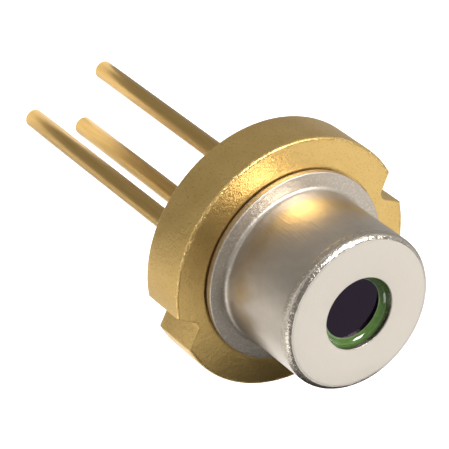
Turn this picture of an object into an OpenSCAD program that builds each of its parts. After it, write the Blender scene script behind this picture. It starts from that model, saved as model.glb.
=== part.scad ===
// Laser diode in a 5.6 mm round metal package, with everything sealed inside its cap.
// The origin is the centre of the stem's reference face. +Z is the way the beam leaves.
// +X points to the laser lead and the first locating notch. -Y points to the common lead.

/* [Stem] */
// Diameter of the stem disc
stem_d = 5.6; // [5.4:0.1:7]
// Thickness of the stem disc
stem_t = 1.15; // [0.9:0.05:1.6]
// Rounding of the rim's two edges
stem_edge_r = 0.06; // [0.02:0.01:0.12]
// Depth of a locating notch, in from the rim
notch_depth = 0.39; // [0.2:0.01:0.45]
// Angle between the two walls of a locating notch
notch_angle = 90; // [60:1:110]
// Width of the flat root of a locating notch
notch_root_w = 0.16; // [0.05:0.01:0.3]
// Turn of the second locating notch, away from the point opposite the first
notch_turn = -3.3; // [-8:0.1:8]
// Width of the square index notch
index_w = 1; // [0.6:0.05:1.2]
// Depth of the square index notch, in from the rim
index_depth = 0.4; // [0.2:0.01:0.45]
// Depth of the coined seat that the cap stands in
seat_depth = 0.03; // [0.02:0.01:0.1]
// Clearance between the seat's edge and the cap's flange
seat_gap = 0.04; // [0.02:0.01:0.1]

/* [Leads] */
// Diameter of a lead
lead_d = 0.43; // [0.35:0.01:0.52]
// Diameter of the circle that the leads stand on
lead_circle_d = 2; // [1.9:0.05:2.2]
// Length of a lead behind the stem
lead_len = 7.9; // [3:0.1:15]
// Rounding of a lead's ends
lead_end_r = 0.04; // [0.01:0.01:0.08]
// Height of the laser lead's inner end above the reference face
laser_lead_h = 1.15; // [0.9:0.05:1.3]
// Height of the monitor lead's inner end above the reference face
monitor_lead_h = 0.45; // [0.3:0.05:0.5]
// Depth of the bonding flat ground on the laser lead's inner end
bond_flat_depth = 0.12; // [0.05:0.01:0.15]
// Length of the bonding flat
bond_flat_len = 0.5; // [0.3:0.05:0.7]
// Diameter of the glass seal round a lead
seal_d = 0.95; // [0.8:0.01:1]
// Sag of a glass seal's two ends between the lead and the stem
seal_sag = 0.03; // [0.01:0.01:0.06]
// Depth of the socket that the common lead is brazed into
socket_depth = 0.08; // [0.05:0.01:0.1]
// Width of the braze between the common lead and its socket
socket_gap = 0.16; // [0.1:0.01:0.2]
// Height that the braze climbs down the common lead
braze_climb = 0.06; // [0.03:0.01:0.08]

/* [Heat sink] */
// Width of the heat-sink post
post_w = 1.2; // [1.1:0.05:1.25]
// Radius of the post's round back, from the optical axis
post_r = 1.32; // [1.2:0.01:1.35]
// Rounding of the top edge of the post's round back
post_edge_r = 0.12; // [0.05:0.01:0.2]
// Thickness of the braze under the post
post_braze_t = 0.03; // [0.02:0.01:0.05]

/* [Laser bench] */
// Height of the emitting facet above the reference face
emit_h = 1.27; // [1.2:0.01:1.4]
// Width of the laser chip
chip_w = 0.25; // [0.2:0.01:0.3]
// Thickness of the laser chip
chip_t = 0.1; // [0.08:0.01:0.14]
// Length of the laser chip along the beam
chip_len = 0.6; // [0.4:0.05:0.7]
// Overhang of the emitting facet past the submount
chip_overhang = 0.01; // [0.005:0.005:0.02]
// Thickness of the solder under the laser chip
chip_solder_t = 0.01; // [0.01:0.005:0.02]
// Width of the submount
submount_w = 0.75; // [0.65:0.05:0.8]
// Thickness of the submount
submount_t = 0.2; // [0.15:0.01:0.25]
// Length of the submount along the beam
submount_len = 0.8; // [0.7:0.05:0.85]
// Thickness of the solder under the submount
submount_solder_t = 0.02; // [0.01:0.01:0.04]

/* [Monitor photodiode] */
// Width of the monitor photodiode
photodiode_w = 0.5; // [0.35:0.05:0.55]
// Thickness of the monitor photodiode
photodiode_t = 0.15; // [0.1:0.01:0.2]
// Tilt of the monitor photodiode, which keeps its reflection off the laser
photodiode_tilt = 10; // [5:1:15]
// Distance from the beam axis to the photodiode's centre
photodiode_y = 0.1; // [0.05:0.01:0.15]
// Depth of the photodiode's pocket at its shallow side
pocket_depth = 0.03; // [0.02:0.01:0.06]
// Clearance between the photodiode and the pocket's walls
pocket_gap = 0.05; // [0.03:0.01:0.06]
// Thickness of the solder under the photodiode
photodiode_solder_t = 0.02; // [0.01:0.01:0.03]

/* [Bond wires] */
// Diameter of a bond wire
wire_d = 0.03; // [0.02:0.005:0.04]
// Diameter of the pressed foot at each end of a bond wire
foot_d = 0.09; // [0.06:0.01:0.11]
// Height of a foot
foot_h = 0.02; // [0.01:0.005:0.03]
// Rise of a bond wire's loop
wire_rise = 0.28; // [0.25:0.01:0.32]

/* [Cap] */
// Height of the cap's front above the reference face
cap_h = 2.35; // [2.25:0.05:2.8]
// Outer diameter of the cap's body
cap_d = 3.47; // [3.4:0.01:3.6]
// Thickness of the cap's side wall
cap_wall = 0.17; // [0.12:0.01:0.2]
// Thickness of the cap's front
cap_front_t = 0.15; // [0.12:0.01:0.25]
// Outer rounding of the cap's nose
nose_r = 0.16; // [0.1:0.01:0.3]
// Inner rounding of the cap's nose
nose_inner_r = 0.06; // [0.02:0.01:0.1]
// Rounding between the cap's body and its flange
root_r = 0.09; // [0.05:0.01:0.15]
// Outer diameter of the weld flange
flange_d = 4.22; // [4.1:0.01:4.4]
// Thickness of the weld flange
flange_t = 0.16; // [0.12:0.01:0.25]
// Rounding of the weld flange's outer edges
flange_edge_r = 0.03; // [0.01:0.01:0.05]
// Height of the weld bead that the flange stands on
bead_h = 0.04; // [0.02:0.01:0.06]
// Width of the weld bead
bead_w = 0.14; // [0.1:0.01:0.18]
// Diameter of the aperture
aperture_d = 1.59; // [1.3:0.01:1.9]
// Rounding of the aperture's outer edge
aperture_edge_r = 0.02; // [0.01:0.005:0.03]

/* [Window] */
// Diameter of the window
window_d = 2.4; // [2.2:0.05:2.6]
// Thickness of the window
window_t = 0.25; // [0.2:0.01:0.35]
// Thickness of the sealing glass between the cap's front and the window
window_seal_t = 0.1; // [0.06:0.01:0.12]
// Width of the sealing glass that shows inside the aperture
window_seal_lap = 0.14; // [0.08:0.01:0.2]
// Height that the sealing glass climbs up the aperture's wall
window_seal_climb = 0.045; // [0.02:0.005:0.06]
// Width of the sealing glass round the window's rim
window_seal_rim = 0.18; // [0.1:0.01:0.2]
// Height of the window's rim that the sealing glass covers
window_seal_drop = 0.12; // [0.05:0.01:0.15]

/* [Hidden] */
$fn = 96;
cut = 1; // how far a cutting solid runs past what it cuts

gold = [0.80, 0.64, 0.34];
nickel = [0.73, 0.70, 0.66];
solder_grey = [0.66, 0.66, 0.68];

// Stem
stem_r = stem_d / 2;
back_z = -stem_t;
floor_z = -seat_depth;
seat_r = flange_d / 2 + seat_gap;
notch_root_x = stem_r - notch_depth;

// Leads
lead_r = lead_d / 2;
lead_place = lead_circle_d / 2;
tip_z = back_z - lead_len;
socket_r = lead_r + socket_gap;
socket_z = back_z + socket_depth;
bond_flat_y = lead_r - bond_flat_depth;

// Laser bench, built back from the beam axis towards -Y
chip_back_y = -chip_t;
submount_face_y = chip_back_y - chip_solder_t;
submount_back_y = submount_face_y - submount_t;
post_face_y = submount_back_y - submount_solder_t;
submount_top_z = emit_h - chip_overhang;
post_base_z = floor_z + post_braze_t;

// Cap and window, from the front down
cap_r = cap_d / 2;
cap_inner_r = cap_r - cap_wall;
flange_r = flange_d / 2;
flange_z = floor_z + bead_h;
flange_top_z = flange_z + flange_t;
bead_mid_r = (cap_inner_r + flange_r) / 2;
aperture_r = aperture_d / 2;
front_z = cap_h - cap_front_t;
window_r = window_d / 2;
window_top_z = front_z - window_seal_t;

// Photodiode pocket and bond wires
pocket_half = photodiode_w / 2 + pocket_gap;
pocket_z = floor_z - pocket_depth - pocket_half * sin(photodiode_tilt);
photodiode_top = photodiode_solder_t + photodiode_t;
submount_pad_x = (chip_w + submount_w) / 4 + foot_d / 4;
post_pad_x = (submount_w + post_w) / 4;
wire_steps = 16;
wire_sides = 8;

// The cylinder's radius that sags by s over a chord c
function sag_radius(c, s) = (c * c / 4 + s * s) / (2 * s);

// A point on the monitor photodiode's face, offset by x from its centre
function photodiode_point(x) = [
    x,
    photodiode_y + sin(photodiode_tilt) * photodiode_top,
    pocket_z + cos(photodiode_tilt) * photodiode_top
];

// A point at t, from 0 to 1, on a bond wire's loop
function loop_point(a, b, up, t) =
    a + (b - a) * (1 - cos(180 * t)) / 2 + up * wire_rise * sin(180 * t);

// The loop's direction at t
function loop_dir(a, b, up, t) = (b - a) * sin(180 * t) / 2 + up * wire_rise * cos(180 * t);

function unit(v) = v / norm(v);

// The circle through p and q that hollows the corner on the left of the way from p to q.
// It meets both walls at a small angle, as molten glass or braze does.
module hollow_between(p, q) {
    chord = q - p;
    reach = 0.6 * max(abs(chord.x / chord.y), abs(chord.y / chord.x));
    centre = (p + q) / 2 + [-chord.y, chord.x] * reach;
    translate(centre) circle(norm(centre - p));
}

// The half-section of a disc from z = low to high, its rim's edges rounded
module disc_section(r, low, high, edge_r) {
    translate([0, low]) square([r - edge_r, high - low]);
    translate([0, low + edge_r]) square([r, high - low - 2 * edge_r]);
    for (z = [low + edge_r, high - edge_r]) translate([r - edge_r, z]) circle(edge_r, $fn = 48);
}

// The same with only its upper edge rounded
module domed_section(r, low, high, edge_r) {
    translate([0, low]) square([r - edge_r, high - low]);
    translate([0, low]) square([r, high - low - edge_r]);
    translate([r - edge_r, high - edge_r]) circle(edge_r, $fn = 48);
}

// A locating notch's cutter, with its root at notch_root_x on +X
module locating_notch() {
    run = stem_r + cut - notch_root_x;
    mouth = notch_root_w / 2 + run * tan(notch_angle / 2);
    translate([notch_root_x, 0, back_z - cut]) linear_extrude(stem_t + 2 * cut)
        polygon([[0, -notch_root_w / 2], [run, -mouth], [run, mouth], [0, notch_root_w / 2]]);
}

// Puts its children on the tilted floor of the photodiode's pocket
module on_pocket_floor(height = 0) {
    translate([0, photodiode_y, pocket_z]) rotate([-photodiode_tilt, 0, 0])
        translate([0, 0, height]) children();
}

// A block centred on the pocket's normal
module centred_block(w, h) {
    translate([-w / 2, -w / 2, 0]) cube([w, w, h]);
}

// Gold-plated disc with its notches, lead holes, cap seat, socket and photodiode pocket
module stem() {
    color(gold) difference() {
        rotate_extrude() difference() {
            disc_section(stem_r, back_z, 0, stem_edge_r);
            translate([0, floor_z]) square([seat_r, seat_depth + cut]);
        }
        locating_notch();
        rotate([0, 0, 180 + notch_turn]) locating_notch();
        translate([-index_w / 2, -stem_r - cut, back_z - cut])
            cube([index_w, index_depth + cut, stem_t + 2 * cut]);
        for (side = [-1, 1]) translate([side * lead_place, 0, back_z - cut])
            cylinder(d = seal_d, h = stem_t + 2 * cut);
        translate([0, -lead_place, back_z - cut]) cylinder(r = socket_r, h = cut + socket_depth);
        on_pocket_floor() centred_block(2 * pocket_half, stem_t);
    }
}

// A round lead from its tip up to the given height, both ends rounded
module lead(top_z) {
    rotate_extrude() disc_section(lead_r, tip_z, top_z, lead_end_r);
}

module common_lead() {
    color(gold) translate([0, -lead_place, 0]) lead(socket_z);
}

// Its inner end has a flat on the side that the chip faces, for the bond wire
module laser_lead() {
    color(gold) translate([lead_place, 0, 0]) difference() {
        lead(laser_lead_h);
        translate([-lead_d, bond_flat_y, laser_lead_h - bond_flat_len])
            cube([2 * lead_d, lead_d, bond_flat_len + cut]);
    }
}

module monitor_lead() {
    color(gold) translate([-lead_place, 0, 0]) lead(monitor_lead_h);
}

// A glass seal fills the hole round a lead and sags between them at both ends
module lead_glass() {
    wide = seal_d / 2 - lead_r;
    rad = sag_radius(wide, seal_sag);
    rotate_extrude() difference() {
        translate([lead_r, back_z]) square([wide, stem_t - seat_depth]);
        translate([lead_r + wide / 2, floor_z + rad - seal_sag]) circle(rad);
        translate([lead_r + wide / 2, back_z - rad + seal_sag]) circle(rad);
    }
}

module laser_lead_glass() {
    color([0.20, 0.24, 0.26]) translate([lead_place, 0, 0]) lead_glass();
}

module monitor_lead_glass() {
    color([0.20, 0.24, 0.26]) translate([-lead_place, 0, 0]) lead_glass();
}

// Braze fills the socket round the common lead and climbs a little way down it
module common_lead_braze() {
    color(solder_grey) translate([0, -lead_place, 0]) rotate_extrude() difference() {
        translate([lead_r, back_z - braze_climb]) square([socket_gap, braze_climb + socket_depth]);
        hollow_between([socket_r, back_z], [lead_r, back_z - braze_climb]);
    }
}

// The heat-sink post is a round block cut flat on its front and sides
module post_box(low) {
    translate([-post_w / 2, -post_r - cut, low])
        cube([post_w, post_r + cut + post_face_y, submount_top_z + cut - low]);
}

module heat_sink_post() {
    color([0.82, 0.62, 0.38]) intersection() {
        rotate_extrude() domed_section(post_r, post_base_z, submount_top_z, post_edge_r);
        post_box(post_base_z - cut);
    }
}

module post_braze() {
    color(solder_grey) intersection() {
        translate([0, 0, floor_z]) cylinder(r = post_r, h = post_braze_t);
        post_box(floor_z - cut);
    }
}

// The submount stands on the post's front, its top flush with the post's
module submount() {
    color([0.86, 0.84, 0.78])
        translate([-submount_w / 2, submount_back_y, submount_top_z - submount_len])
        cube([submount_w, submount_t, submount_len]);
}

module submount_solder() {
    color(solder_grey) translate([-submount_w / 2, post_face_y, submount_top_z - submount_len])
        cube([submount_w, submount_solder_t, submount_len]);
}

// The chip's emitting facet stands a little proud of the submount
module laser_chip() {
    color([0.35, 0.33, 0.36]) translate([-chip_w / 2, chip_back_y, emit_h - chip_len])
        cube([chip_w, chip_t, chip_len]);
}

module chip_solder() {
    color(gold) translate([-chip_w / 2, submount_face_y, emit_h - chip_len])
        cube([chip_w, chip_solder_t, chip_len - chip_overhang]);
}

module monitor_photodiode() {
    color([0.16, 0.18, 0.30]) on_pocket_floor(photodiode_solder_t)
        centred_block(photodiode_w, photodiode_t);
}

module photodiode_solder() {
    color(solder_grey) on_pocket_floor() centred_block(photodiode_w, photodiode_solder_t);
}

// A looped wire between two pads. turn tips each pad's normal from +Z about the X axis,
// and the loop rises along the first pad's normal.
module bond_wire(start, end, start_turn, end_turn) {
    up = [0, -sin(start_turn), cos(start_turn)];
    side = unit(cross(end - start, up));
    lift = up * foot_h / 2;
    points = [
        for (i = [0:wire_steps], j = [0:wire_sides - 1])
            let (
                t = i / wire_steps,
                angle = 360 * j / wire_sides,
                out = unit(cross(side, loop_dir(start, end, up, t)))
            )
            loop_point(start + lift, end + lift, up, t)
                + (side * cos(angle) + out * sin(angle)) * wire_d / 2
    ];
    walls = [
        for (i = [0:wire_steps - 1], j = [0:wire_sides - 1])
            let (a = i * wire_sides + j, b = i * wire_sides + (j + 1) % wire_sides)
            [a, b, b + wire_sides, a + wire_sides]
    ];
    first = [for (j = [wire_sides - 1:-1:0]) j];
    last = [for (j = [0:wire_sides - 1]) wire_steps * wire_sides + j];
    color(gold) union() {
        polyhedron(points, concat(walls, [first, last]));
        translate(start) rotate([start_turn, 0, 0]) cylinder(d = foot_d, h = foot_h, $fn = 24);
        translate(end) rotate([end_turn, 0, 0]) cylinder(d = foot_d, h = foot_h, $fn = 24);
    }
}

// From the flat on the laser lead to the pad under the chip
module laser_lead_wire() {
    pad_z = laser_lead_h - foot_d - lead_end_r;
    bond_wire([lead_place, bond_flat_y, pad_z], [submount_pad_x, submount_face_y, pad_z], -90, -90);
}

// From the chip's face to the post
module chip_ground_wire() {
    pad_z = emit_h - chip_len / 2;
    bond_wire([0, 0, pad_z], [-post_pad_x, post_face_y, pad_z], -90, -90);
}

// From the monitor lead's end to the photodiode
module photodiode_wire() {
    bond_wire(
        [-lead_place, 0, monitor_lead_h],
        photodiode_point(-photodiode_w / 4),
        0,
        -photodiode_tilt
    );
}

// Drawn metal cap. Its side wall turns out into the weld flange, which stands on a weld bead.
module cap_section() {
    mouth_r = cap_wall / 2;
    difference() {
        union() {
            domed_section(cap_r, flange_z, cap_h, nose_r);
            disc_section(flange_r, flange_z, flange_top_z, flange_edge_r);
            translate([cap_inner_r, flange_z]) difference() {
                square([cap_wall + root_r, flange_t + root_r]);
                translate([cap_wall + root_r, flange_t + root_r]) circle(root_r, $fn = 48);
            }
            translate([bead_mid_r - bead_w / 2, floor_z]) square([bead_w, bead_h + flange_t / 2]);
        }
        domed_section(cap_inner_r, floor_z - cut, front_z, nose_inner_r);
        translate([0, floor_z]) square([aperture_r, cap_h + cut]);
        translate([cap_inner_r, flange_z]) difference() {
            square(mouth_r);
            translate([mouth_r, mouth_r]) circle(mouth_r, $fn = 48);
        }
        translate([aperture_r, cap_h - aperture_edge_r]) difference() {
            square([aperture_edge_r, cut]);
            translate([aperture_edge_r, 0]) circle(aperture_edge_r, $fn = 48);
        }
    }
}

module cap() {
    color(nickel) rotate_extrude() cap_section();
}

module window_glass() {
    color([0.12, 0.07, 0.16]) translate([0, 0, window_top_z - window_t])
        cylinder(r = window_r, h = window_t);
}

// Glass frit joins the window to the inside of the cap's front. It shows as a sloping ring
// in the aperture and wraps the window's rim behind it.
module window_seal() {
    inner_r = aperture_r - window_seal_lap;
    outer_r = window_r + window_seal_rim;
    climb_z = front_z + window_seal_climb;
    drop_z = window_top_z - window_seal_drop;
    color([0.22, 0.32, 0.14]) rotate_extrude() difference() {
        union() {
            translate([inner_r, drop_z]) square([outer_r - inner_r, front_z - drop_z]);
            translate([inner_r, drop_z]) square([window_seal_lap, climb_z - drop_z]);
        }
        square([window_r, window_top_z]);
        hollow_between([inner_r, window_top_z], [aperture_r, climb_z]);
        hollow_between([outer_r, front_z], [window_r, drop_z]);
    }
}

stem();
common_lead();
common_lead_braze();
laser_lead();
laser_lead_glass();
monitor_lead();
monitor_lead_glass();
heat_sink_post();
post_braze();
submount();
submount_solder();
laser_chip();
chip_solder();
monitor_photodiode();
photodiode_solder();
laser_lead_wire();
chip_ground_wire();
photodiode_wire();
cap();
window_seal();
window_glass();
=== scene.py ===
from math import atan2, cos, degrees, hypot, pi, radians, sin, sqrt, tan

import bmesh
import bpy
from mathutils import Matrix, Quaternion, Vector


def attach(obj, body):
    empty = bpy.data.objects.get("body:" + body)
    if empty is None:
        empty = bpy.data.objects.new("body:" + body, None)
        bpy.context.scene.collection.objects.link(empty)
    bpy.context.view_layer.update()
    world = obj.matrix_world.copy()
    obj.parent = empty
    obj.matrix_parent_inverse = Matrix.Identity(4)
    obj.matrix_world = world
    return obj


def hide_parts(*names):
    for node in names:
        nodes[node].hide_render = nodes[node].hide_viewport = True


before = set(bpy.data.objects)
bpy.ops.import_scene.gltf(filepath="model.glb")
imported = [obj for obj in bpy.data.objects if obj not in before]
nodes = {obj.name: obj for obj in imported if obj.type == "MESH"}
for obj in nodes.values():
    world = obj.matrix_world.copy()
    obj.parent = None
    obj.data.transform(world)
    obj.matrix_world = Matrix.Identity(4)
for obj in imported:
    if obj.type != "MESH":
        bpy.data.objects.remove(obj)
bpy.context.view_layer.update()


# ---- Studio ----
# The diode is shown in the air, as if held by its stem, with the window towards the camera.
# Pale paper lies well below the leads, three softboxes light it, and cards shape what the metal
# reflects.
MM = 0.001


class Tone:
    """A number or a colour in a material, so that arithmetic on it adds the nodes."""

    def __init__(self, recipe, socket):
        self.recipe, self.socket = recipe, socket

    def sum(self, operation, a, b=0.0):
        return self.recipe.node("ShaderNodeMath", {"operation": operation}, {0: a, 1: b})

    def __add__(self, other):
        return self.sum("ADD", self, other)

    def __sub__(self, other):
        return self.sum("SUBTRACT", self, other)

    def __rsub__(self, other):
        return self.sum("SUBTRACT", other, self)

    def __mul__(self, other):
        return self.sum("MULTIPLY", self, other)

    def __truediv__(self, other):
        return self.sum("DIVIDE", self, other)

    def __pow__(self, other):
        return self.sum("POWER", self, other)

    __radd__, __rmul__ = __add__, __mul__

    def rising(self, low, high):
        """0 up to low, 1 from high on, and smooth between them."""
        return self.recipe.node(
            "ShaderNodeMapRange", {"interpolation_type": "SMOOTHSTEP"},
            {"Value": self, "From Min": low, "From Max": high})


class Recipe:
    """The nodes of one material, or of the world."""

    def __init__(self, owner):
        owner.use_nodes = True
        self.owner, self.tree, self.point = owner, owner.node_tree, None
        self.tree.nodes.clear()

    def node(self, kind, settings=None, sockets=None, out=None):
        made = self.tree.nodes.new(kind)
        for key, setting in (settings or {}).items():
            if key == "stops":
                ramp = made.color_ramp
                while len(ramp.elements) < len(setting):
                    ramp.elements.new(1.0)
                for element, (at, colour) in zip(ramp.elements, setting):
                    element.position, element.color = at, (*colour, 1.0)
            else:
                setattr(made, key, setting)
        for key, given in (sockets or {}).items():
            socket = made.inputs[key] if isinstance(key, int) else next(
                s for s in made.inputs if s.name == key and s.enabled)
            if isinstance(given, Tone):
                self.tree.links.new(given.socket, socket)
            elif socket.type == "RGBA":
                socket.default_value = (*given, 1.0)
            else:
                socket.default_value = given
        return Tone(self, next(s for s in made.outputs if s.enabled and out in (None, s.name)))

    def where(self):
        """The shaded point, in the piece's own metres."""
        if self.point is None:
            self.point = self.node("ShaderNodeTexCoord", out="Object")
        return self.point

    def grain(self, size, detail=3.0, stretch=None, warp=0.0):
        """Noise with lumps about size millimetres across."""
        point = self.where()
        if stretch:
            point = self.node("ShaderNodeMapping", None, {"Vector": point, "Scale": stretch})
        return self.node(
            "ShaderNodeTexNoise", None,
            {"Vector": point, "Scale": 1 / (size * MM), "Detail": detail,
             "Distortion": warp})

    def blend(self, share, a, b):
        return self.node(
            "ShaderNodeMix", {"data_type": "RGBA"}, {"Factor": share, "A": a, "B": b})

    def turned_place(self):
        """Millimetres from the optical axis and up it, then along X and along Y."""
        x, y, z = (
            self.node("ShaderNodeSeparateXYZ", None, {"Vector": self.where()}, out=axis) / MM
            for axis in "XYZ")
        return (x * x + y * y) ** 0.5, z, x, y

    def relief(self, height, step, under=None):
        """Bumps whose full step is step millimetres high."""
        sockets = {"Height": height, "Distance": step * MM}
        if under:
            sockets["Normal"] = under
        return self.node("ShaderNodeBump", None, sockets)

    def metal(self, colour, roughness, relief, **more):
        return self.finish({
            "Base Color": colour, "Roughness": roughness, "Normal": relief, "Metallic": 1.0,
            **more})

    def finish(self, sockets):
        return self.close(
            self.node("ShaderNodeBsdfPrincipled", None, sockets), "ShaderNodeOutputMaterial")

    def close(self, shader, kind):
        end = self.tree.nodes.new(kind)
        self.tree.links.new(shader.socket, end.inputs["Surface"])
        return self.owner


def recipe(name):
    return Recipe(bpy.data.materials.new(name))


aim = Vector((-0.20, -0.08, -2.28)) * MM
view_height, view_turn, view_roll = 46.26, 112.39, 127.4
look_back = Quaternion((0, 0, 1), radians(view_turn)) @ Vector(
    (cos(radians(view_height)), 0, sin(radians(view_height))))
camera_data = bpy.data.cameras.new("camera")
camera_data.lens, camera_data.sensor_width = 210.0, 36.0
camera_data.clip_start, camera_data.clip_end = 1 * MM, 2000 * MM
camera = bpy.data.objects.new("camera", camera_data)
camera.matrix_world = (
    Matrix.Translation(aim + look_back * 55.25 * MM)
    @ look_back.to_track_quat("Z", "Y").to_matrix().to_4x4()
    @ Matrix.Rotation(radians(view_roll), 4, "Z"))
bpy.context.scene.collection.objects.link(camera)
bpy.context.scene.camera = camera
bpy.context.scene.view_settings.view_transform = "Standard"


def softbox(name, right, up, near, distance, width, radiance):
    """An area light that faces the diode, placed as seen from the camera."""
    away = (camera.matrix_world.to_3x3() @ Vector((right, up, near))).normalized()
    lamp = bpy.data.lights.new(name, "AREA")
    lamp.shape, lamp.size = "SQUARE", width * MM
    lamp.energy = radiance * pi * lamp.size ** 2
    holder = bpy.data.objects.new(name, lamp)
    holder.matrix_world = (
        Matrix.Translation(away * distance * MM) @ away.to_track_quat("Z", "Y").to_matrix().to_4x4())
    bpy.context.scene.collection.objects.link(holder)


softbox("key_softbox", 0.62, 0.32, 0.71, 70, 30, 24.0)
softbox("face_softbox", 0.84, -0.52, 0.05, 70, 50, 1.2)
softbox("low_softbox", -0.40, -0.86, 0.35, 80, 36, 3.2)

sky = Recipe(bpy.data.worlds.new("studio"))
bpy.context.scene.world = sky.owner
sky_height = sky.node(
    "ShaderNodeSeparateXYZ", None,
    {"Vector": sky.node("ShaderNodeTexCoord", out="Generated")}, out="Z")
walls = sky.blend(sky_height.rising(0.10, 0.45), (1.0, 1.0, 1.0), (0.22, 0.22, 0.22))
sky.close(sky.node("ShaderNodeBackground", None, {"Color": walls, "Strength": 1.0}),
          "ShaderNodeOutputWorld")

paper_level, paper_reach = -9.8, 600
paper_mesh = bpy.data.meshes.new("paper")
paper_mesh.from_pydata(
    [(x * paper_reach * MM, y * paper_reach * MM, paper_level * MM)
     for x, y in ((-1, -1), (1, -1), (1, 1), (-1, 1))],
    [], [(0, 1, 2, 3)])
paper = bpy.data.objects.new("paper", paper_mesh)
bpy.context.scene.collection.objects.link(paper)
pale = recipe("pale_paper")
seen = pale.node("ShaderNodeLightPath", out="Is Camera Ray")
for ray in ("Is Glossy Ray", "Is Transmission Ray"):
    seen = seen.sum("MAXIMUM", seen, pale.node("ShaderNodeLightPath", out=ray))
pale.close(
    pale.node("ShaderNodeAddShader", None, {
        0: pale.node("ShaderNodeBsdfDiffuse", None, {"Color": (0.8, 0.8, 0.8)}),
        1: pale.node("ShaderNodeEmission", None, {"Color": (1.0, 1.0, 1.0), "Strength": seen * 0.6}),
    }), "ShaderNodeOutputMaterial")
paper_mesh.materials.append(pale.owner)


def card(name, corners, shade):
    """A card that shapes the metal's reflections. The camera doesn't see it."""
    mesh = bpy.data.meshes.new(name)
    mesh.from_pydata([tuple(Vector(c) * MM) for c in corners], [], [range(len(corners))])
    sheet = bpy.data.objects.new(name, mesh)
    bpy.context.scene.collection.objects.link(sheet)
    matt = recipe(name)
    mesh.materials.append(matt.close(
        matt.node("ShaderNodeBsdfDiffuse", None, {"Color": (shade, shade, shade)}),
        "ShaderNodeOutputMaterial"))
    sheet.visible_camera = sheet.visible_shadow = sheet.visible_diffuse = False


low = -9.4
card("front_card", [(-14, 0.8, low), (120, 0.8, low), (120, 120, low), (-50, 120, low)], 0.28)
card("side_card", [(1.6, -3, low), (60, -60, low), (120, 0.8, low), (1.6, 0.8, low)], 0.34)
card("left_card", [
    (-120, -60, low), (-1.6, -3, low), (-1.6, 0.8, low), (-14, 0.8, low), (-120, 60, low)], 0.92)
# The near card is a dark sheet that stands in for a shadowed table beside the stem, so the gold face
# and the cap reflect painted shade.
card("near_shade_card", [(-4.5, -3.3, 0.0), (0.6, -3.3, 0.0), (0.6, -3.3, 3.4), (-4.5, -3.3, 3.4)], 0.05)


# ---- Stem ----
# A disc of mild steel, cold forged with its two V notches and its square index notch, pierced
# for the glass seals and plated with nickel and gold. The cap is welded to its shallow seat.
stem_r, stem_back, edge_break = 2.8, -1.15, 0.06
notch_root, notch_root_w, notch_turns = 2.41, 0.16, (0.0, 176.7)
index_w, index_root = 1.0, 2.4
seat_r, seat_z = 2.15, -0.03
pin_circle_r, seal_r, socket_r, socket_z = 1.0, 0.475, 0.375, -1.07
SHARP = radians(28)


def arc(centre, r, start, stop, steps):
    """Points on an arc, from start to stop degrees."""
    return [
        (centre[0] + r * cos(radians(start + (stop - start) * i / steps)),
         centre[1] + r * sin(radians(start + (stop - start) * i / steps)))
        for i in range(steps + 1)]


def rounded(corners, sizes, steps=5):
    """A closed outline with some of its corners rounded off."""
    outline = []
    for i, (corner, size) in enumerate(zip(corners, sizes)):
        if not size:
            outline.append(tuple(corner))
            continue
        here = Vector(corner)
        back = (Vector(corners[i - 1]) - here).normalized()
        on = (Vector(corners[(i + 1) % len(corners)]) - here).normalized()
        half = back.angle(on) / 2
        centre = here + (back + on).normalized() * size / sin(half)
        start = here + back * size / tan(half) - centre
        stop = here + on * size / tan(half) - centre
        sweep = start.angle_signed(stop)
        outline += [
            tuple(centre + Matrix.Rotation(-sweep * k / steps, 2) @ start) for k in range(steps + 1)]
    return outline


def piece_from(shape, name, material):
    """A finished piece: faces outwards, crisp where it turns sharply and smooth elsewhere."""
    bmesh.ops.remove_doubles(shape, verts=shape.verts, dist=1e-8)
    bmesh.ops.recalc_face_normals(shape, faces=shape.faces)
    for face in shape.faces:
        face.smooth = True
    for edge in shape.edges:
        edge.smooth = edge.calc_face_angle(0.0) < SHARP
    mesh = bpy.data.meshes.new(name)
    shape.to_mesh(mesh)
    shape.free()
    piece = bpy.data.objects.new(name, mesh)
    bpy.context.scene.collection.objects.link(piece)
    mesh.materials.append(material)
    return settled(piece, weighted=True)


def settled(piece, weighted=False):
    """The piece as a plain mesh, with its modifiers worked in."""
    if weighted:
        smoothing = piece.modifiers.new("even_shading", "WEIGHTED_NORMAL")
        smoothing.mode, smoothing.weight, smoothing.keep_sharp = "FACE_AREA", 100, True
    graph = bpy.context.evaluated_depsgraph_get()
    mesh = bpy.data.meshes.new_from_object(piece.evaluated_get(graph), depsgraph=graph)
    piece.modifiers.clear()
    piece.data = mesh
    mesh.name = piece.name
    return piece


def turned_shape(section, steps=256, centre=(0.0, 0.0), ring=False):
    """A half-section, as (radius, height) in millimetres, spun about the optical axis."""
    shape = bmesh.new()
    angles = [2 * pi * i / steps for i in range(steps)]
    rows = [
        [shape.verts.new((
            (centre[0] + r * cos(a)) * MM, (centre[1] + r * sin(a)) * MM, z * MM))
         for a in (angles if r > 1e-6 else angles[:1])]
        for r, z in section]
    for low, high in list(zip(rows, rows[1:])) + ([(rows[-1], rows[0])] if ring else []):
        for i in range(steps):
            j = (i + 1) % steps
            corners = (
                low[i % len(low)], low[j % len(low)], high[j % len(high)], high[i % len(high)])
            shape.faces.new(list(dict.fromkeys(corners)))
    return shape


def cut_away(shape, tools):
    """The shape with each tool's shape cut out of it."""
    def loose(made):
        bmesh.ops.recalc_face_normals(made, faces=made.faces)
        mesh = bpy.data.meshes.new("blank")
        made.to_mesh(mesh)
        made.free()
        body = bpy.data.objects.new("blank", mesh)
        bpy.context.scene.collection.objects.link(body)
        return body

    blank, cutters = loose(shape), [loose(t) for t in tools]
    for cutter in cutters:
        cutting = blank.modifiers.new("cut", "BOOLEAN")
        cutting.operation, cutting.solver, cutting.object = "DIFFERENCE", "EXACT", cutter
    settled(blank)
    result = bmesh.new()
    result.from_mesh(blank.data)
    for body in [blank] + cutters:
        bpy.data.objects.remove(body)
    return result


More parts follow.
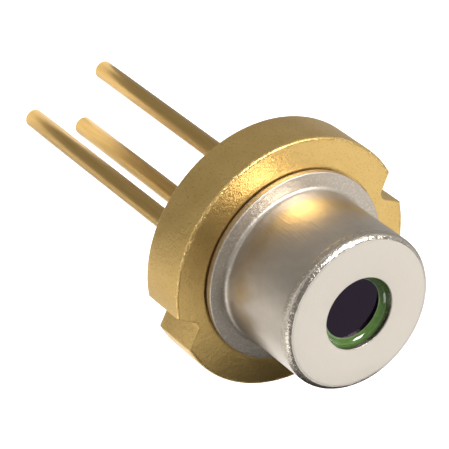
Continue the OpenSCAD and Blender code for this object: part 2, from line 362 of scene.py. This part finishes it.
def block_shape(low, high, turn=None):
    """A rectangular block between two corners, in millimetres."""
    shape = bmesh.new()
    bmesh.ops.create_cube(shape, size=1.0)
    low, high = Vector(low), Vector(high)
    bmesh.ops.transform(
        shape, verts=shape.verts,
        matrix=(turn or Matrix.Identity(4)) @ Matrix.Translation((low + high) / 2 * MM)
        @ Matrix.Diagonal((*((high - low) * MM), 1.0)))
    return shape


def notch_corners(angle, root, half_root, slope):
    """A notch's four corners on the way round the rim, anticlockwise."""
    k = half_root - root * slope
    deep = (-k * slope + sqrt(stem_r ** 2 * (1 + slope ** 2) - k ** 2)) / (1 + slope ** 2)
    mouth = k + deep * slope
    turn = Matrix.Rotation(radians(angle), 2)
    return [tuple(turn @ Vector(p)) for p in (
        (deep, -mouth), (root, -half_root), (root, half_root), (deep, mouth))]


def stem_outline():
    """Each point on the rim, with how much its edge is rounded off."""
    notches = sorted(
        [(a, notch_corners(a, notch_root, notch_root_w / 2, 1.0), (0.03, 0.04, 0.04, 0.03))
         for a in notch_turns]
        + [(270.0, notch_corners(270.0, index_root, index_w / 2, 0.0), (0.05, 0.06, 0.06, 0.05))])
    corners, sizes = [], []
    for i, (_, points, rounds) in enumerate(notches):
        corners += points
        sizes += rounds
        start = degrees(atan2(points[3][1], points[3][0]))
        follow = notches[(i + 1) % len(notches)][1][0]
        stop = degrees(atan2(follow[1], follow[0]))
        stop += 360 * (stop < start)
        steps = round((stop - start) / 1.0)
        rim = arc((0, 0), stem_r, start, stop, steps)[1:-1]
        corners += rim
        sizes += [0] * len(rim)
    outline = rounded(corners, sizes)
    return [(p, 0.02 + (edge_break - 0.02) * (hypot(*p) > stem_r - 0.005)) for p in outline]


def stem_shape():
    outline = stem_outline()
    count = len(outline)
    inward = []
    for i in range(count):
        back, here, on = (Vector(outline[k % count][0]) for k in (i - 1, i, i + 1))
        a, b = (here - back).normalized(), (on - here).normalized()
        way = (a + b).normalized()
        inward.append(Vector((-way.y, way.x)) / max(0.7, way.dot(a)))
    steps = 7
    quarter = [(1 - sin(pi / 2 * k / steps), 1 - cos(pi / 2 * k / steps)) for k in range(steps + 1)]
    shape = bmesh.new()
    rows = []
    for level, way in ((0.0, -1), (stem_back, 1)):
        ladder = []
        for in_share, down_share in quarter:
            ladder.append([
                shape.verts.new((
                    (p[0] + n.x * size * in_share) * MM, (p[1] + n.y * size * in_share) * MM,
                    (level + way * size * down_share) * MM))
                for (p, size), n in zip(outline, inward)])
        rows.append(ladder)
    ladder = rows[0] + rows[1][::-1]
    for high, low in zip(ladder, ladder[1:]):
        for i in range(count):
            j = (i + 1) % count
            shape.faces.new((high[i], low[i], low[j], high[j]))
    shape.faces.new(ladder[0])
    shape.faces.new(ladder[-1][::-1])
    return shape


pocket_tilt, pocket_half, pocket_drop = radians(10), 0.3, 0.03
pocket_turn = (
    Matrix.Translation(Vector((0.0, 0.1, seat_z - pocket_drop - pocket_half * sin(pocket_tilt))) * MM)
    @ Matrix.Rotation(-pocket_tilt, 4, "X"))
lead_places = {"laser_lead": (pin_circle_r, 0.0), "monitor_lead": (-pin_circle_r, 0.0),
               "common_lead": (0.0, -pin_circle_r)}
cuts = [turned_shape([(0, seat_z), (seat_r, seat_z), (seat_r, 1), (0, 1)], 256)]
for name in ("laser_lead", "monitor_lead"):
    cuts.append(turned_shape([(0, -2), (seal_r, -2), (seal_r, 1), (0, 1)], 96, lead_places[name]))
cuts.append(turned_shape(
    [(0, -2), (socket_r, -2), (socket_r, socket_z), (0, socket_z)], 96, lead_places["common_lead"]))
cuts.append(block_shape(
    (-pocket_half, -pocket_half, 0), (pocket_half, pocket_half, 1.0), pocket_turn))

gold = recipe("gold_plated_steel")
r, z = gold.turned_place()[:2]
patches = gold.grain(0.7, 2.0)
peel = gold.grain(0.10, 2.0)
specks = gold.grain(0.042, 3.0)
tone = gold.blend(patches, (0.60, 0.39, 0.125), (0.76, 0.535, 0.205))
tone = gold.blend(specks.rising(0.55, 0.70) * 0.45, tone, (0.36, 0.20, 0.05))
# Nicks in the plating along the rim's front edge: their bumps are real, and the brighter gold they
# blend in is a painted highlight along that edge.
nicks_and_edge_highlight = (
    gold.grain(0.06, 3.0, warp=1.0).rising(0.52, 0.66)
    * r.rising(2.71, 2.75) * z.rising(-0.10, -0.04))
tone = gold.blend(nicks_and_edge_highlight * 0.7, tone, (0.90, 0.66, 0.30))
gold_relief = gold.relief(nicks_and_edge_highlight, 0.010, gold.relief(specks, 0.006, gold.relief(peel, 0.008)))
gold_finish = gold.metal(tone, 0.33 + 0.10 * patches, gold_relief)

stem = piece_from(cut_away(stem_shape(), cuts), "stem_body", gold_finish)
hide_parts("stem")
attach(stem, "root")


# ---- Glass seals ----
# Two beads of dark sealing glass, melted in the stem's holes round the two insulated leads.
lead_r = 0.215
seal_sag = 0.03
seal_mid, seal_half = (lead_r + seal_r) / 2, (seal_r - lead_r) / 2
sag_r = (seal_half ** 2 + seal_sag ** 2) / (2 * seal_sag)
sag_half = degrees(atan2(seal_half, sag_r - seal_sag))
seal_section = (
    arc((seal_mid, seat_z + sag_r - seal_sag), sag_r, -90 - sag_half, -90 + sag_half, 12)
    + arc((seal_mid, stem_back - sag_r + seal_sag), sag_r, 90 - sag_half, 90 + sag_half, 12))

bead = recipe("sealing_glass")
swirl = bead.grain(0.25, 2.0, warp=0.6)
bubbles = bead.grain(0.04, 1.0)
bead_finish = bead.finish({
    "Base Color": bead.blend(swirl, (0.030, 0.042, 0.040), (0.060, 0.075, 0.070)),
    "Roughness": 0.12 + 0.1 * bubbles, "Normal": bead.relief(bubbles, 0.002),
    "Coat Weight": 0.3})
for name in ("laser_lead", "monitor_lead"):
    glass = piece_from(
        turned_shape(seal_section, 96, lead_places[name], ring=True), name + "_bead", bead_finish)
    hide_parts(name + "_glass")
    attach(glass, "root")


# ---- Leads ----
# Three round leads of nickel-iron alloy, cut from gold-plated wire and tumbled, so that their
# ends are rounded. Two pass through the glass and one is brazed to the stem's back.
lead_tip, lead_end_break = -9.05, 0.04
lead_tops = {"laser_lead": 1.15, "monitor_lead": 0.45, "common_lead": socket_z}


class Rule:
    """A geometry tree with named inputs, whose nodes are added like a material's."""

    def __init__(self, name, inputs):
        self.tree = bpy.data.node_groups.new(name, "GeometryNodeTree")
        for label, kind in inputs.items():
            self.tree.interface.new_socket(label, in_out="INPUT", socket_type="NodeSocket" + kind)
        self.tree.interface.new_socket("Geometry", in_out="OUTPUT", socket_type="NodeSocketGeometry")
        self.given = self.tree.nodes.new("NodeGroupInput")

    node = Recipe.node

    def size(self, label):
        return Tone(self, self.given.outputs[label])

    def close(self, shape):
        whole = self.node("GeometryNodeRealizeInstances", None, {"Geometry": shape})
        coated = self.node(
            "GeometryNodeSetMaterial", None, {"Geometry": whole, "Material": self.size("Finish")})
        self.tree.links.new(coated.socket, self.tree.nodes.new("NodeGroupOutput").inputs[0])

    def make(self, name, sizes):
        """A plain mesh made by the rule with these sizes."""
        piece = bpy.data.objects.new(name, bpy.data.meshes.new(name))
        bpy.context.scene.collection.objects.link(piece)
        modifier = piece.modifiers.new("rule", "NODES")
        modifier.node_group = self.tree
        for item in self.tree.interface.items_tree:
            if item.in_out == "INPUT" and item.name in sizes:
                modifier[item.identifier] = sizes[item.name]
        return settled(piece)


round_lead = Rule("round_lead", {
    "Radius": "Float", "Tip": "Float", "Top": "Float", "End Break": "Float",
    "Place": "Vector", "Finish": "Material"})
turns = 8
rod = round_lead.node("GeometryNodeResampleCurve", None, {
    "Curve": round_lead.node("GeometryNodeCurvePrimitiveLine"), "Count": 2 * turns + 2})
number = round_lead.node("GeometryNodeSplineParameter", out="Index")
from_tip = (number / turns).sum("MINIMUM", number / turns, 1.0) * (pi / 2)
left = (2 * turns + 1 - number) / turns
from_top = left.sum("MINIMUM", left, 1.0) * (pi / 2)
near_top = number.sum("GREATER_THAN", number, turns + 0.5)
break_size = round_lead.size("End Break")
low_z = round_lead.size("Tip") + break_size * (1 - from_tip.sum("COSINE", from_tip))
high_z = round_lead.size("Top") - break_size * (1 - from_top.sum("COSINE", from_top))
height = low_z + near_top * (high_z - low_z)
sides = from_tip.sum("SINE", from_tip)
sides = sides.sum("MINIMUM", sides, from_top.sum("SINE", from_top))
rod = round_lead.node("GeometryNodeSetPosition", None, {
    "Geometry": rod, "Position": round_lead.node("ShaderNodeVectorMath", {"operation": "ADD"}, {
        0: round_lead.size("Place"),
        1: round_lead.node("ShaderNodeCombineXYZ", None, {"Z": height})})})
rod = round_lead.node("GeometryNodeCurveToMesh", None, {
    "Curve": rod, "Profile Curve": round_lead.node(
        "GeometryNodeCurvePrimitiveCircle", None, {"Resolution": 72, "Radius": 1.0}, out="Curve"),
    "Scale": round_lead.size("Radius") - break_size * (1 - sides), "Fill Caps": True})
rod = round_lead.node("GeometryNodeSetShadeSmooth", None, {"Geometry": rod, "Shade Smooth": True})
round_lead.close(rod)

wire = recipe("gold_plated_lead")
streaks = wire.grain(0.05, 3.0, (1, 1, 0.06))
patches = wire.grain(0.6, 2.0)
specks = wire.grain(0.025, 2.0)
tone = wire.blend(streaks, (0.46, 0.285, 0.085), (0.64, 0.425, 0.155))
tone = wire.blend(specks.rising(0.60, 0.72) * 0.4, tone, (0.36, 0.21, 0.06))
wire_finish = wire.metal(
    tone, 0.27 + 0.12 * patches, wire.relief(specks, 0.001, wire.relief(streaks, 0.002)))

for name, place in lead_places.items():
    lead = round_lead.make(name + "_wire_rod", {
        "Radius": lead_r * MM, "Tip": lead_tip * MM, "Top": lead_tops[name] * MM,
        "End Break": lead_end_break * MM, "Place": (place[0] * MM, place[1] * MM, 0.0),
        "Finish": wire_finish})
    shape = bmesh.new()
    shape.from_mesh(lead.data)
    bpy.data.objects.remove(lead)
    if name == "laser_lead":  # ground flat for its bond wire
        shape = cut_away(shape, [block_shape(
            (0.5, lead_r - 0.12, lead_tops[name] - 0.5), (1.5, 1.0, lead_tops[name] + 1))])
    lead = piece_from(shape, name + "_rod", wire_finish)
    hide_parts(name)
    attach(lead, "root")


def hollow(p, q, steps=12):
    """Points from p to q on the shallow arc that molten glass or braze takes in a corner."""
    p, q = Vector(p), Vector(q)
    chord = q - p
    reach = 0.6 * max(abs(chord.x / chord.y), abs(chord.y / chord.x))
    centre = (p + q) / 2 + Vector((-chord.y, chord.x)) * reach
    sweep = (p - centre).angle_signed(q - centre)
    return [tuple(centre + Matrix.Rotation(-sweep * k / steps, 2) @ (p - centre))
            for k in range(steps + 1)]


braze_climb = 0.06
silver = recipe("silver_braze")
lumps = silver.grain(0.08, 3.0)
braze_finish = silver.metal(
    silver.blend(lumps, (0.58, 0.52, 0.40), (0.70, 0.64, 0.50)), 0.30 + 0.2 * lumps,
    silver.relief(lumps, 0.004))
braze_section = [(lead_r, socket_z), (socket_r, socket_z)] + hollow(
    (socket_r, stem_back), (lead_r, stem_back - braze_climb))
braze = piece_from(
    turned_shape(braze_section, 96, lead_places["common_lead"], ring=True), "lead_braze",
    braze_finish)
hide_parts("common_lead_braze")
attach(braze, "root")


def coat(node, material):
    nodes[node].data.materials.clear()
    nodes[node].data.materials.append(material)


copper = recipe("gold_plated_copper")
grain = copper.grain(0.08, 3.0)
coat("heat_sink_post", copper.metal(
    copper.blend(grain, (0.60, 0.40, 0.15), (0.72, 0.50, 0.22)), 0.28 + 0.15 * grain,
    copper.relief(grain, 0.003)))

ceramic = recipe("nitride_ceramic")
y = ceramic.turned_place()[3]
grain = ceramic.grain(0.02, 3.0)
metallised = (y + 0.1105).rising(-0.001, 0.0)
coat("submount", ceramic.finish({
    "Base Color": ceramic.blend(
        metallised, ceramic.blend(grain, (0.62, 0.60, 0.54), (0.74, 0.72, 0.66)),
        (0.62, 0.44, 0.18)),
    "Metallic": metallised, "Roughness": 0.5 - 0.15 * metallised,
    "Normal": ceramic.relief(grain, 0.001)}))

tin = recipe("gold_tin_solder")
lumps = tin.grain(0.05, 3.0)
solder_finish = tin.metal(
    tin.blend(lumps, (0.55, 0.50, 0.42), (0.68, 0.63, 0.54)), 0.32 + 0.2 * lumps,
    tin.relief(lumps, 0.002))
for node in ("submount_solder", "chip_solder", "photodiode_solder"):
    coat(node, solder_finish)
coat("post_braze", braze_finish)

chip = recipe("laser_chip")
x, y = chip.turned_place()[2:]
grain = chip.grain(0.02, 2.0)
ridge = (x * x).rising(0.0004, 0.0006)
pad = (y + 0.001).rising(0.0, 0.0005)
coat("laser_chip", chip.metal(
    chip.blend(pad * (0.6 + 0.4 * ridge), (0.16, 0.15, 0.18), (0.66, 0.48, 0.20)),
    0.15 + 0.1 * grain, chip.relief(ridge, 0.002)))

diode = recipe("monitor_photodiode")
x, y = diode.turned_place()[2:]
grain = diode.grain(0.03, 2.0)
ring_r = (x * x + (y - 0.13) * (y - 0.13)) ** 0.5
active = 1 - ring_r.rising(0.165, 0.17)
border = ring_r.rising(0.165, 0.17) * (1 - ring_r.rising(0.195, 0.20))
tone = diode.blend(active, (0.11, 0.11, 0.13), (0.035, 0.045, 0.12))
coat("monitor_photodiode", diode.finish({
    "Base Color": diode.blend(border, tone, (0.70, 0.62, 0.42)), "Metallic": border * 0.9,
    "Roughness": 0.12 + 0.15 * grain, "Normal": diode.relief(border, 0.001)}))


# ---- Bond wires ----
# Fine gold wire, pressed to a pad at one end, looped over and pressed to the next. One runs from
# the laser lead to the submount, one from the chip to the post, one from the monitor lead down.
looped_wire = Rule("looped_wire", {
    "Start": "Vector", "End": "Vector", "Up": "Vector", "Start Pad": "Vector", "End Pad": "Vector",
    "Rise": "Float", "Wire Radius": "Float", "Foot Radius": "Float", "Foot Height": "Float",
    "Finish": "Material"})


def vector_sum(rule, operation, a, b):
    return rule.node("ShaderNodeVectorMath", {"operation": operation}, {0: a, 1: b})


def scaled(rule, vector, factor):
    return rule.node("ShaderNodeVectorMath", {"operation": "SCALE"}, {0: vector, "Scale": factor})


share = looped_wire.node("GeometryNodeSplineParameter", out="Factor")
along = 0.5 - 0.5 * share.sum("COSINE", share * pi)
lift = (
    looped_wire.size("Rise") * share.sum("SINE", share * pi)
    + looped_wire.size("Foot Height") * 0.5)
span = vector_sum(looped_wire, "SUBTRACT", looped_wire.size("End"), looped_wire.size("Start"))
path = vector_sum(
    looped_wire, "ADD", vector_sum(looped_wire, "ADD", looped_wire.size("Start"),
                                   scaled(looped_wire, span, along)),
    scaled(looped_wire, looped_wire.size("Up"), lift))
loop = looped_wire.node("GeometryNodeResampleCurve", None, {
    "Curve": looped_wire.node("GeometryNodeCurvePrimitiveLine"), "Count": 41})
loop = looped_wire.node("GeometryNodeSetPosition", None, {"Geometry": loop, "Position": path})
loop = looped_wire.node("GeometryNodeCurveToMesh", None, {
    "Curve": loop, "Profile Curve": looped_wire.node(
        "GeometryNodeCurvePrimitiveCircle", None, {"Resolution": 12, "Radius": 1.0}, out="Curve"),
    "Scale": looped_wire.size("Wire Radius"), "Fill Caps": True})
parts = [loop]
for end in ("Start", "End"):
    foot = looped_wire.node("GeometryNodeMeshCylinder", None, {
        "Vertices": 32, "Radius": looped_wire.size("Foot Radius"),
        "Depth": looped_wire.size("Foot Height")}, out="Mesh")
    pad = looped_wire.size(end + " Pad")
    parts.append(looped_wire.node("GeometryNodeTransform", None, {
        "Geometry": foot,
        "Translation": vector_sum(looped_wire, "ADD", looped_wire.size(end),
                                  scaled(looped_wire, pad, looped_wire.size("Foot Height") * 0.5)),
        "Rotation": looped_wire.node(
            "FunctionNodeAlignRotationToVector", {"axis": "Z"}, {"Vector": pad})}))
joined = looped_wire.tree.nodes.new("GeometryNodeJoinGeometry")
for part in parts:
    looped_wire.tree.links.new(part.socket, joined.inputs[0])
looped_wire.close(Tone(looped_wire, joined.outputs[0]))

bright = recipe("gold_bond_wire")
fine = bright.grain(0.02, 2.0)
bond_finish = bright.metal(
    bright.blend(fine, (0.80, 0.56, 0.22), (0.90, 0.66, 0.30)), 0.18 + 0.1 * fine,
    bright.relief(fine, 0.001))

forward, upward = (0.0, 1.0, 0.0), (0.0, 0.0, 1.0)
lead_pad_z = lead_tops["laser_lead"] - 0.09 - 0.04
diode_top = pocket_turn @ Vector((-0.125 * MM, 0.0, 0.17 * MM))
bonds = {
    "laser_lead_wire": (
        (1.0, 0.095, lead_pad_z), (0.2725, -0.11, lead_pad_z), forward, forward, forward),
    "chip_ground_wire": ((0.0, 0.0, 0.97), (-0.4875, -0.33, 0.97), forward, forward, forward),
    "photodiode_wire": (
        (-1.0, 0.0, lead_tops["monitor_lead"]), tuple(diode_top / MM), upward, upward,
        (0.0, sin(pocket_tilt), cos(pocket_tilt))),
}
for name, (start, end, up, start_pad, end_pad) in bonds.items():
    bond = looped_wire.make(name + "_loop", {
        "Start": tuple(Vector(start) * MM), "End": tuple(Vector(end) * MM), "Up": up,
        "Start Pad": start_pad, "End Pad": end_pad, "Rise": 0.28 * MM, "Wire Radius": 0.015 * MM,
        "Foot Radius": 0.045 * MM, "Foot Height": 0.02 * MM, "Finish": bond_finish})
    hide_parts(name)
    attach(bond, "root")


# ---- Cap ----
# Deep drawn from nickel-plated steel strip, with a pierced front and a turned-out flange. The
# flange is resistance welded to the stem, which leaves it dull.
cap_top, cap_r, cap_wall, cap_front = 2.35, 1.735, 0.17, 0.15
nose_r, nose_inner_r, root_r = 0.16, 0.06, 0.09
flange_r, flange_low, flange_t, flange_break = 2.11, 0.01, 0.16, 0.03
bead_w, aperture_r, aperture_break = 0.14, 0.795, 0.02
cap_inner = cap_r - cap_wall
flange_top = flange_low + flange_t
front_z = cap_top - cap_front
bead_mid = (cap_inner + flange_r) / 2
mouth_r = cap_wall / 2
cap_section = (
    [(aperture_r, front_z)]
    + arc((aperture_r + aperture_break, cap_top - aperture_break), aperture_break, 180, 90, 5)
    + arc((cap_r - nose_r, cap_top - nose_r), nose_r, 90, 0, 14)
    + arc((cap_r + root_r, flange_top + root_r), root_r, 180, 270, 10)
    + arc((flange_r - flange_break, flange_top - flange_break), flange_break, 90, 0, 6)
    + arc((flange_r - flange_break, flange_low + flange_break), flange_break, 0, -90, 6)
    + [(bead_mid + bead_w / 2, flange_low), (bead_mid + bead_w / 2, seat_z),
       (bead_mid - bead_w / 2, seat_z), (bead_mid - bead_w / 2, flange_low)]
    + arc((cap_inner + mouth_r, flange_low + mouth_r), mouth_r, 270, 180, 8)
    + arc((cap_inner - nose_inner_r, front_z - nose_inner_r), nose_inner_r, 0, 90, 6))

nickel = recipe("nickel_plated_steel")
z = nickel.turned_place()[1]
nose = z.rising(2.06, 2.16) * (1 - z.rising(2.338, 2.348))
weld = 1 - z.rising(0.20, 0.30)
mottle = nickel.grain(0.16, 4.0)
fine = nickel.grain(0.04, 3.0)
crinkle = nickel.grain(0.07, 3.0, warp=1.2)
drawn = nickel.grain(0.05, 3.0, (1, 1, 0.15))
tone = nickel.blend(mottle, (0.46, 0.40, 0.33), (0.56, 0.50, 0.42))
# The front face is painted a lighter tone than the sides: painted light, as on the face turned to the
# lamps.
tone = nickel.blend(z.rising(2.30, 2.345), tone, (0.59, 0.54, 0.47))
tone = nickel.blend(weld * mottle.rising(0.4, 0.65) * 0.4, tone, (0.42, 0.385, 0.345))
tone = nickel.blend(weld * fine.rising(0.5, 0.7) * 0.5, tone, (0.74, 0.71, 0.67))
rough = 0.29 + 0.08 * mottle - 0.08 * nose + 0.16 * weld
cap_relief = nickel.relief(
    crinkle * nose, 0.014,
    nickel.relief(drawn * (1 - nose), 0.003, nickel.relief(mottle * weld, 0.014)))
nickel_finish = nickel.metal(tone, rough, cap_relief)

cap = piece_from(turned_shape(cap_section, 256, ring=True), "drawn_cap", nickel_finish)
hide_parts("cap")
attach(cap, "root")


# ---- Window ----
# A coated glass disc, joined inside the cap's front by a ring of green solder glass that slopes
# up the aperture's wall.
window_r, window_low, window_top = 1.2, 1.85, 2.10
lap_r, rim_r, climb_z, drop_z = 0.655, 1.38, 2.245, 1.73
seal_section = (
    hollow((lap_r, window_top), (aperture_r, climb_z)) + [(aperture_r, front_z)]
    + hollow((rim_r, front_z), (window_r, drop_z)) + [(window_r, window_top)])

frit = recipe("green_solder_glass")
flow = frit.grain(0.12, 2.0, warp=0.8)
ripple = frit.grain(0.30, 1.0)
frit_finish = frit.finish({
    "Base Color": frit.blend(flow, (0.030, 0.070, 0.012), (0.095, 0.18, 0.04)),
    "Roughness": 0.05 + 0.06 * flow, "Normal": frit.relief(ripple, 0.012), "Coat Weight": 0.6})
seal = piece_from(turned_shape(seal_section, 192, ring=True), "window_frit", frit_finish)
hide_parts("window_seal")
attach(seal, "root")

pane = recipe("coated_window")
film = pane.grain(1.6, 1.0)
pane_finish = pane.finish({
    "Base Color": pane.blend(film, (0.010, 0.004, 0.010), (0.005, 0.004, 0.018)),
    "Roughness": 0.02 + 0.02 * film, "Transmission Weight": 0.9, "IOR": 1.27,
    "Specular Tint": (0.85, 0.50, 1.0), "Specular IOR Level": 0.10,
    "Normal": pane.relief(film, 0.0005)})
pane_section = [
    (0, window_low), (window_r, window_low), (window_r, window_top), (0, window_top)]
pane_piece = piece_from(turned_shape(pane_section, 192), "window_pane", pane_finish)
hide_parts("window_glass")
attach(pane_piece, "root")
